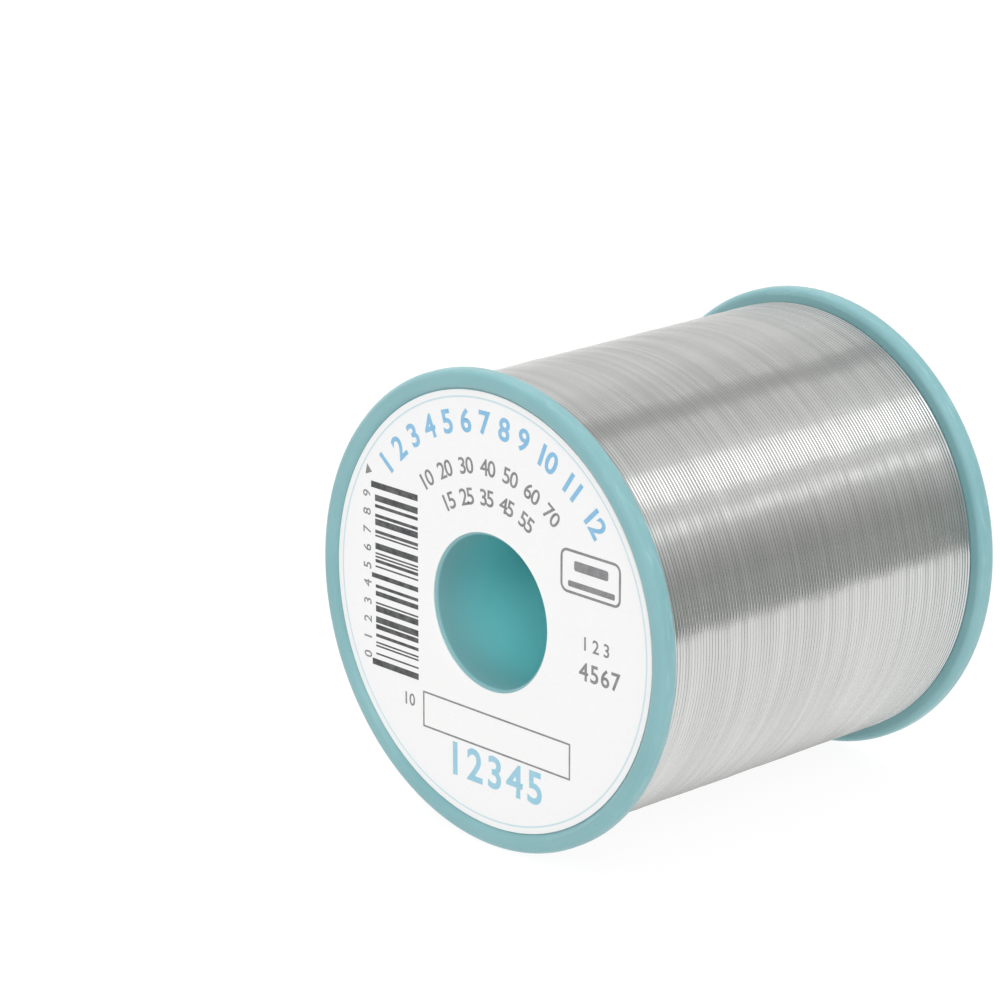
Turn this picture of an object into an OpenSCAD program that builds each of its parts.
// Spool of flux-cored solder wire, lying on the rims of its two flanges.
// The spool is two equal moulded halves pressed together at mid-width. The wire is wound on
// their double-walled barrel, layer on layer, and a paper label lies in one flange.
// The spool's axis is along Y, the label faces -Y, and the origin is under the middle.

/* [Spool] */
// Diameter over the rims of the flanges
flange_d = 60; // [54:0.5:80]
// Width over both rims
spool_w = 59; // [40:0.5:90]
// Diameter of the spindle bore
bore_d = 19.2; // [14:0.1:21]
// Radius on the edge of the bore at each face
bore_edge_r = 0.4; // [0.2:0.1:1.2]
// Chamfer on the edge of the bore where the two halves meet
joint_chamfer = 0.2; // [0.1:0.05:0.4]
// Wall of the tube round the bore
tube_wall = 1.3; // [0.8:0.1:2]
// Diameter of the barrel that carries the wire
barrel_d = 30; // [27:0.1:40]
// Wall of the barrel
barrel_wall = 1.6; // [1:0.1:2.4]

/* [Flange] */
// Thickness of a flange at its rim
rim_t = 2.6; // [1.9:0.1:4]
// Radial width of the raised rim round the label seat
rim_w = 2.4; // [1.8:0.1:4]
// Radial width of the slope from the seat up to the rim
rim_slope_w = 0.5; // [0.2:0.1:0.9]
// Radius on the outer edges of the rim
rim_edge_r = 0.9; // [0.3:0.1:1.1]
// Radius where that slope meets the top of the rim
crown_edge_r = 0.6; // [0.2:0.1:0.8]
// Depth of the label seat below the rim
seat_depth = 0.7; // [0.3:0.05:1]

/* [Ribs and pins] */
// Pins on each half, which fit the same number of sockets on the other
pin_count = 3; // [2:1:4]
// Diameter of a locating pin
pin_d = 1.6; // [1:0.1:2.2]
// Length of a locating pin
pin_len = 3; // [1.5:0.5:6]
// Chamfer on the tip of a pin
pin_chamfer = 0.3; // [0.1:0.1:0.4]
// Thickness of the radial ribs between the tube and the barrel
rib_t = 1.1; // [0.8:0.1:2]
// Depth to which ribs and posts sink into the walls that they join
root = 0.45; // [0.2:0.05:0.6]

/* [Label] */
// Thickness of the paper label
label_t = 0.12; // [0.08:0.01:0.25]

/* [Wire] */
// Diameter of the solder wire
wire_d = 0.5; // [0.3:0.05:1.5]
// Diameter of the flux core inside the wire
flux_d = 0.2; // [0.1:0.02:0.24]
// Depth of the wound wire below the rim
wire_below_rim = 1.75; // [1:0.05:6]
// Turn of the last, loose-ended turn of wire
last_turn_angle = 318; // [200:1:340]
// Place of its cut end round the spool, from +X towards the floor
cut_end_angle = 168; // [0:1:359]

/* [Start of the wire] */
// Place of the start hole round each half, from its first pin
start_angle = 15; // [12:1:18]
// Distance from the flange to the edge of the start hole
start_inset = 0.3; // [0.2:0.1:2]
// Bend radius of the wire where it turns along the inside of the barrel
start_bend_r = 0.75; // [0.6:0.05:0.8]
// Straight length of wire left inside the barrel
start_tail = 6; // [3:0.5:12]

/* [Fits] */
// Gap between the label and the edge of its seat
label_gap = 0.1; // [0.05:0.05:0.3]
// Gap all round a pin in its socket
pin_gap = 0.05; // [0.02:0.01:0.1]
// Room beyond the tip of a pin
pin_end_gap = 0.4; // [0.2:0.1:1]
// Gap all round the wire in the start hole
start_gap = 0.25; // [0.2:0.05:0.5]
// Gap between the start of the wire and the inside of the barrel
tail_gap = 0.1; // [0.05:0.05:0.3]

/* [Hidden] */

// Facets of a full circle, by size
big_fn = 180;
mid_fn = 64;
small_fn = 32;
// Overrun of a cutting shape past the face that it cuts
over = 0.2;

flange_r = flange_d / 2;
half_w = spool_w / 2;
bore_r = bore_d / 2;
tube_r = bore_r + tube_wall;
barrel_r = barrel_d / 2;
barrel_inner_r = barrel_r - barrel_wall;
seat_r = flange_r - rim_w;
crown_r = seat_r + rim_slope_w;
slope_angle = atan2(seat_depth, rim_slope_w);
// Distance from the crown's corner to the ends of its rounding, and the steps that draw it
crown_cut = crown_edge_r * tan(slope_angle / 2);
crown_steps = 5;

pin_step = 360 / pin_count;
post_r = (tube_r + barrel_inner_r) / 2;
post_d = barrel_inner_r - tube_r + 2 * root;
socket_d = pin_d + 2 * pin_gap;

wire_r = wire_d / 2;
wound_r = flange_r - wire_below_rim;
turn_r = wound_r - wire_r;
under_r = wound_r - wire_d;
winding_w = spool_w - 2 * rim_t;
turns = floor(winding_w / wire_d);
pitch = winding_w / turns;
last_turn_z = rim_t + (turns - 0.5) * pitch;
// Angle each way over which a turn stands clear of its neighbours, and the steps that draw it
free_arc = 72;
arc_steps = 4;

start_hole_d = wire_d + 2 * start_gap;
start_z = rim_t + start_inset + start_hole_d / 2;
tail_r = barrel_inner_r - tail_gap - wire_r;

// Lays the spool on its rims: its axis turns from Z to Y, and the floor is at z = 0
module lay_down() {
    translate([0, -half_w, flange_r]) rotate([-90, 0, 0]) children();
}

// Turns a half round to face its partner, with its pins at the partner's sockets
module far_side() {
    translate([0, 0, spool_w]) rotate([180, 0, 0]) rotate([0, 0, pin_step / 2]) children();
}

// Area to take off a square outline corner at the origin, with the solid towards +X +Y
module corner_rounding(r) {
    difference() {
        translate([-over, -over]) square(r + over);
        translate([r, r]) circle(r, $fn = small_fn);
    }
}

// Rounding from the slope of the rim onto its top
function crown_rounding() = [
    for (i = [0 : crown_steps])
        let (a = 270 - slope_angle * (1 - i / crown_steps))
        [crown_r + crown_cut + crown_edge_r * cos(a), crown_edge_r * (1 + sin(a))]
];

// Section of one half, radius along X and width along Y
module half_section() {
    difference() {
        polygon(concat(
            [[bore_r, seat_depth], [seat_r, seat_depth]],
            crown_rounding(),
            [
                [flange_r, 0], [flange_r, rim_t], [barrel_r, rim_t], [barrel_r, half_w],
                [barrel_inner_r, half_w], [barrel_inner_r, rim_t], [tube_r, rim_t], [tube_r, half_w],
                [bore_r + joint_chamfer, half_w], [bore_r, half_w - joint_chamfer]
            ]
        ));
        translate([bore_r, seat_depth]) corner_rounding(bore_edge_r);
        translate([flange_r, 0]) mirror([1, 0]) corner_rounding(rim_edge_r);
        translate([flange_r, rim_t]) rotate(180) corner_rounding(rim_edge_r);
    }
}

// Radial rib that ties the tube to the barrel
module rib() {
    translate([tube_r - root, -rib_t / 2, rim_t - root])
        cube([barrel_inner_r - tube_r + 2 * root, rib_t, half_w - rim_t + root]);
}

// Round post between the tube and the barrel
module post() {
    translate([post_r, 0, rim_t - root]) cylinder(d = post_d, h = half_w - rim_t + root, $fn = mid_fn);
}

// Pin on the end of a post, with a chamfered tip
module pin() {
    translate([post_r, 0, half_w - root]) {
        cylinder(d = pin_d, h = root + pin_len - pin_chamfer, $fn = small_fn);
        translate([0, 0, root + pin_len - pin_chamfer])
            cylinder(d1 = pin_d, d2 = pin_d - 2 * pin_chamfer, h = pin_chamfer, $fn = small_fn);
    }
}

// Socket for the other half's pin
module socket() {
    depth = pin_len + pin_end_gap;
    translate([post_r, 0, half_w - depth]) cylinder(d = socket_d, h = depth + over, $fn = small_fn);
}

// Hole through the barrel wall for the start of the wire
module start_hole() {
    rotate([0, 0, start_angle]) translate([post_r, 0, start_z]) rotate([0, 90, 0])
        cylinder(d = start_hole_d, h = barrel_r - post_r + over, $fn = small_fn);
}

// One moulded half: flange, half the tube, half the barrel, and the ribs, posts and pins
module spool_half() {
    difference() {
        union() {
            rotate_extrude($fn = big_fn) half_section();
            for (i = [0 : 2 * pin_count - 1]) {
                rotate([0, 0, i * pin_step / 2]) post();
                rotate([0, 0, (i + 0.5) * pin_step / 2]) rib();
            }
            for (i = [0 : pin_count - 1]) {
                rotate([0, 0, i * pin_step]) pin();
            }
        }
        for (i = [0 : pin_count - 1]) {
            rotate([0, 0, (i + 0.5) * pin_step]) socket();
        }
        start_hole();
    }
}

// Half under the label
module label_side_half() {
    color([0.56, 0.76, 0.77]) lay_down() spool_half();
}

// Half at the bare rear face, the same moulding
module rear_half() {
    color([0.54, 0.74, 0.75]) lay_down() far_side() spool_half();
}

// Paper ring in the seat, open where the bore's rounded edge begins
module face_label() {
    color([0.96, 0.96, 0.95]) lay_down() translate([0, 0, seat_depth - label_t]) difference() {
        cylinder(r = seat_r - label_gap, h = label_t, $fn = big_fn);
        translate([0, 0, -over]) cylinder(r = bore_r + bore_edge_r, h = label_t + 2 * over, $fn = big_fn);
    }
}

// Inner end of the wire, passed in through the start hole and bent along the barrel
module wire_start() {
    color([0.74, 0.75, 0.75]) lay_down() rotate([0, 0, start_angle]) {
        translate([tail_r + start_bend_r, 0, start_z]) rotate([0, 90, 0])
            cylinder(d = wire_d, h = barrel_r - tail_r - start_bend_r, $fn = small_fn);
        translate([tail_r + start_bend_r, 0, start_z + start_bend_r])
            rotate([90, 0, 0]) rotate([0, 0, 180]) rotate_extrude(angle = 90, $fn = mid_fn)
                translate([start_bend_r, 0]) circle(d = wire_d, $fn = small_fn);
        translate([tail_r, 0, start_z + start_bend_r])
            cylinder(d = wire_d, h = start_tail, $fn = small_fn);
    }
}

// All layers under the outer one, as one packed body
module wire_inner_layers() {
    color([0.66, 0.68, 0.67]) lay_down() rotate_extrude($fn = big_fn)
        translate([barrel_r, rim_t]) square([under_r - barrel_r, winding_w]);
}

// Outline of the outer layer: the free arc of each turn, from the first to the last but one
function layer_outline() = [
    for (i = [0 : turns - 2]) for (k = [0 : arc_steps])
        let (a = free_arc * (2 * k / arc_steps - 1))
        [turn_r + wire_r * cos(a), rim_t + (i + 0.5) * pitch + wire_r * sin(a)]
];

// Outer layer, turn beside turn, up to the place of the last turn
module wire_outer_layer() {
    color([0.80, 0.81, 0.80]) lay_down() rotate_extrude($fn = big_fn)
        polygon(concat(
            [[under_r, rim_t]], layer_outline(), [[under_r, rim_t + (turns - 1) * pitch]]
        ));
}

// Places a part turn of the last turn's length, with its far end at the cut end's place
module last_turn_place() {
    lay_down() translate([0, 0, last_turn_z]) rotate([0, 0, cut_end_angle - last_turn_angle])
        rotate_extrude(angle = last_turn_angle, $fn = big_fn) translate([turn_r, 0]) children();
}

// Last turn of the wire, laid against the rear flange and cut off
module wire_last_turn() {
    color([0.82, 0.83, 0.82]) last_turn_place() difference() {
        circle(r = wire_r, $fn = small_fn);
        circle(d = flux_d, $fn = small_fn);
    }
}

// Flux inside that turn, which shows at its cut end
module flux_core() {
    color([0.86, 0.72, 0.42]) last_turn_place() circle(d = flux_d, $fn = small_fn);
}

label_side_half();
rear_half();
face_label();
wire_start();
wire_inner_layers();
wire_outer_layer();
wire_last_turn();
flux_core();
